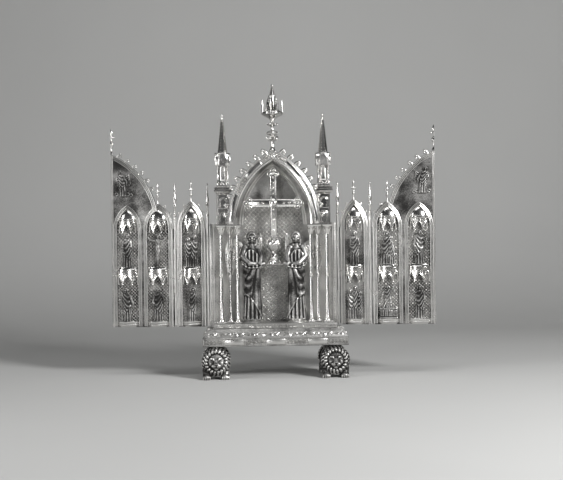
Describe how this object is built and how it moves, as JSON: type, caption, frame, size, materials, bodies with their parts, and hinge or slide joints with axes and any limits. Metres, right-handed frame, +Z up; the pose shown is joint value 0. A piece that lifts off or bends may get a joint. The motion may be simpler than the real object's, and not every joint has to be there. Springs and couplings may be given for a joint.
{
  "type": "folding polyptych shrine",
  "caption": "Gothic silver folding shrine: gabled niche with cross and angels on lion feet, and hinged wings with relief scenes under canopies.",
  "frame": {"origin": "on the ground under the middle of the open shrine", "axes": "+X to the right as seen from the front, -Y towards the front, +Z up"},
  "size_m": [0.8083, 0.1261, 0.72],
  "materials": {
    "polished_silver": "polished silver with worn edges",
    "chased_silver": "chased silver with dark tarnish in the ground",
    "cast_silver": "cast silver, darkened between the curls"
  },
  "bodies": {
    "shrine": {"base": "chased_silver", "back_wall": "chased_silver", "gable": "polished_silver", "central_finial": "polished_silver", "cross_stand": "polished_silver", "reliquary_cross": "polished_silver", "left_front_lion_foot": "cast_silver", "left_rear_lion_foot": "cast_silver", "right_front_lion_foot": "cast_silver", "right_rear_lion_foot": "cast_silver", "left_outer_column": "polished_silver", "left_middle_column": "polished_silver", "left_inner_column": "polished_silver", "right_outer_column": "polished_silver", "right_middle_column": "polished_silver", "right_inner_column": "polished_silver", "left_tower": "polished_silver", "right_tower": "polished_silver", "left_angel": "polished_silver", "right_angel": "polished_silver", "left_inner_hinge_pin": "polished_silver", "right_inner_hinge_pin": "polished_silver"},
    "left_inner_wing": {"left_inner_leaf": "chased_silver", "left_inner_canopy": "polished_silver", "left_inner_middle_shelf": "polished_silver", "left_inner_upper_two_mourners": "chased_silver", "left_inner_lower_bound_figure": "chased_silver", "left_outer_hinge_pin": "polished_silver"},
    "left_outer_wing": {"left_outer_leaf": "chased_silver", "left_hinge_canopy": "polished_silver", "left_hinge_middle_shelf": "polished_silver", "left_hinge_upper_crucified_figure": "chased_silver", "left_hinge_lower_pointing_figure": "chased_silver", "left_edge_canopy": "polished_silver", "left_edge_middle_shelf": "polished_silver", "left_edge_upper_standing_saint": "chased_silver", "left_edge_lower_striding_figure": "chased_silver", "left_spandrel_angel": "chased_silver", "left_half_finial": "polished_silver"},
    "right_inner_wing": {"right_inner_leaf": "chased_silver", "right_inner_canopy": "polished_silver", "right_inner_middle_shelf": "polished_silver", "right_inner_upper_reading_saint": "chased_silver", "right_inner_lower_group_of_three": "chased_silver", "right_outer_hinge_pin": "polished_silver"},
    "right_outer_wing": {"right_outer_leaf": "chased_silver", "right_hinge_canopy": "polished_silver", "right_hinge_middle_shelf": "polished_silver", "right_hinge_upper_embracing_pair": "chased_silver", "right_hinge_lower_rising_figure": "chased_silver", "right_edge_canopy": "polished_silver", "right_edge_middle_shelf": "polished_silver", "right_edge_upper_robed_prophet": "chased_silver", "right_edge_lower_blessing_saint": "chased_silver", "right_spandrel_angel": "chased_silver", "right_half_finial": "polished_silver"}
  },
  "joints": [
    {"name": "left_inner_hinge", "type": "hinge", "parent": "shrine", "child": "left_inner_wing", "pos_m": [-0.163, 0.035, 0.26], "axis": [0, 0, 1], "range_deg": [-10, 90]},
    {"name": "left_outer_hinge", "type": "hinge", "parent": "left_inner_wing", "child": "left_outer_wing", "pos_m": [-0.244, 0.035, 0.26], "axis": [0, 0, 1], "range_deg": [-6, 99]},
    {"name": "right_inner_hinge", "type": "hinge", "parent": "shrine", "child": "right_inner_wing", "pos_m": [0.163, 0.035, 0.26], "axis": [0, 0, -1], "range_deg": [-17, 83]},
    {"name": "right_outer_hinge", "type": "hinge", "parent": "right_inner_wing", "child": "right_outer_wing", "pos_m": [0.2434, 0.02513, 0.26], "axis": [0, 0, -1], "range_deg": [-15, 90]}
  ]
}
